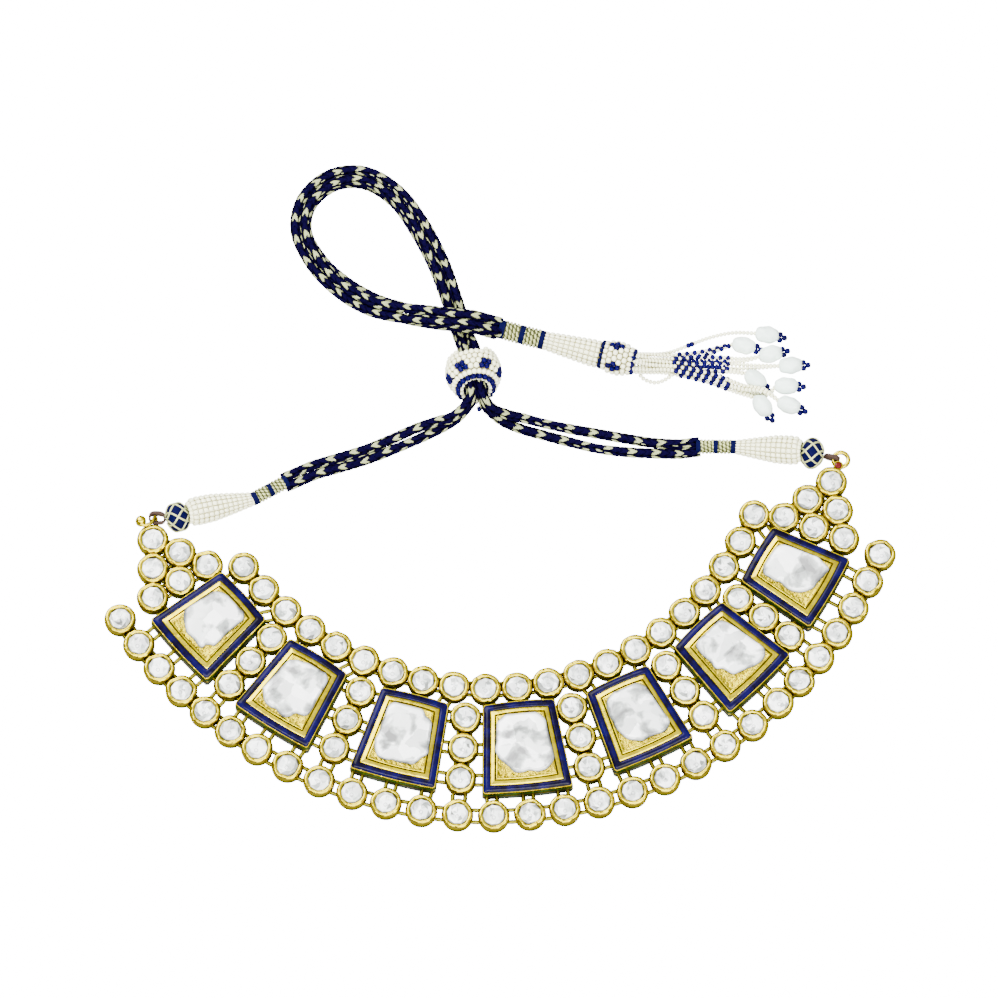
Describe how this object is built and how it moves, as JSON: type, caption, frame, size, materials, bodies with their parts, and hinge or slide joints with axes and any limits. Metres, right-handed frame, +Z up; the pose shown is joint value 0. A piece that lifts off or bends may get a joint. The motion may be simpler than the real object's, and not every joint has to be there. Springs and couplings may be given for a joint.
{
  "type": "kundan necklace",
  "caption": "Choker of keystone medallions and round collets set with flat uncut stones, closed by braided silk cords with a beaded slider and a tassel of pearl strands.",
  "frame": {"origin": "middle of the underside of the centre medallion, on the surface that the choker lies on", "axes": "+X along the choker to the wearer's left, +Y towards the neck and the cord, +Z up from the surface, out of the stones"},
  "size_m": [0.1967, 0.1749, 0.0145],
  "materials": {
    "kundan_gold": "polished gold with foiled uncut stones",
    "blue_enamel": "fired glass enamel, glossy",
    "uncut_stone": "flat uncut stone over silver foil",
    "seed_pearl": "woven seed pearls",
    "wound_wire": "fine wound wire",
    "navy_silk": "braided silk",
    "dark_thread": "twisted thread",
    "red_stone": "small cut stone"
  },
  "bodies": {
    "root": {"medallion_1_case": "kundan_gold", "medallion_2_case": "kundan_gold", "medallion_3_case": "kundan_gold", "medallion_4_case": "kundan_gold", "medallion_5_case": "kundan_gold", "medallion_6_case": "kundan_gold", "medallion_7_case": "kundan_gold", "medallion_1_enamel": "blue_enamel", "medallion_2_enamel": "blue_enamel", "medallion_3_enamel": "blue_enamel", "medallion_4_enamel": "blue_enamel", "medallion_5_enamel": "blue_enamel", "medallion_6_enamel": "blue_enamel", "medallion_7_enamel": "blue_enamel", "medallion_1_stone": "uncut_stone", "medallion_2_stone": "uncut_stone", "medallion_3_stone": "uncut_stone", "medallion_4_stone": "uncut_stone", "medallion_5_stone": "uncut_stone", "medallion_6_stone": "uncut_stone", "medallion_7_stone": "uncut_stone", "upper_row": "kundan_gold", "lower_row": "kundan_gold", "column_1": "kundan_gold", "column_2": "kundan_gold", "column_3": "kundan_gold", "column_4": "kundan_gold", "column_5": "kundan_gold", "column_6": "kundan_gold", "left_end_with_hook": "kundan_gold", "right_end_with_ring": "kundan_gold", "ring_stone": "red_stone", "left_thread_loop": "dark_thread", "right_thread_loop": "dark_thread", "left_lattice_ball": "navy_silk", "right_lattice_ball": "navy_silk", "left_pearl_sleeve": "seed_pearl", "right_pearl_sleeve": "seed_pearl", "left_wire_wrap": "wound_wire", "right_wire_wrap": "wound_wire", "cord_1": "navy_silk", "cord_2": "navy_silk", "cord_3": "navy_silk", "cord_4": "navy_silk", "slider": "seed_pearl", "tassel_wrap": "wound_wire", "tassel_sleeve": "seed_pearl", "tassel_cap": "seed_pearl", "tassel_strand_1": "seed_pearl", "tassel_strand_2": "seed_pearl", "tassel_strand_3": "seed_pearl", "tassel_strand_4": "seed_pearl", "tassel_strand_5": "seed_pearl", "tassel_strand_6": "seed_pearl", "tassel_strand_7": "seed_pearl", "tassel_strand_8": "seed_pearl"}
  },
  "joints": []
}
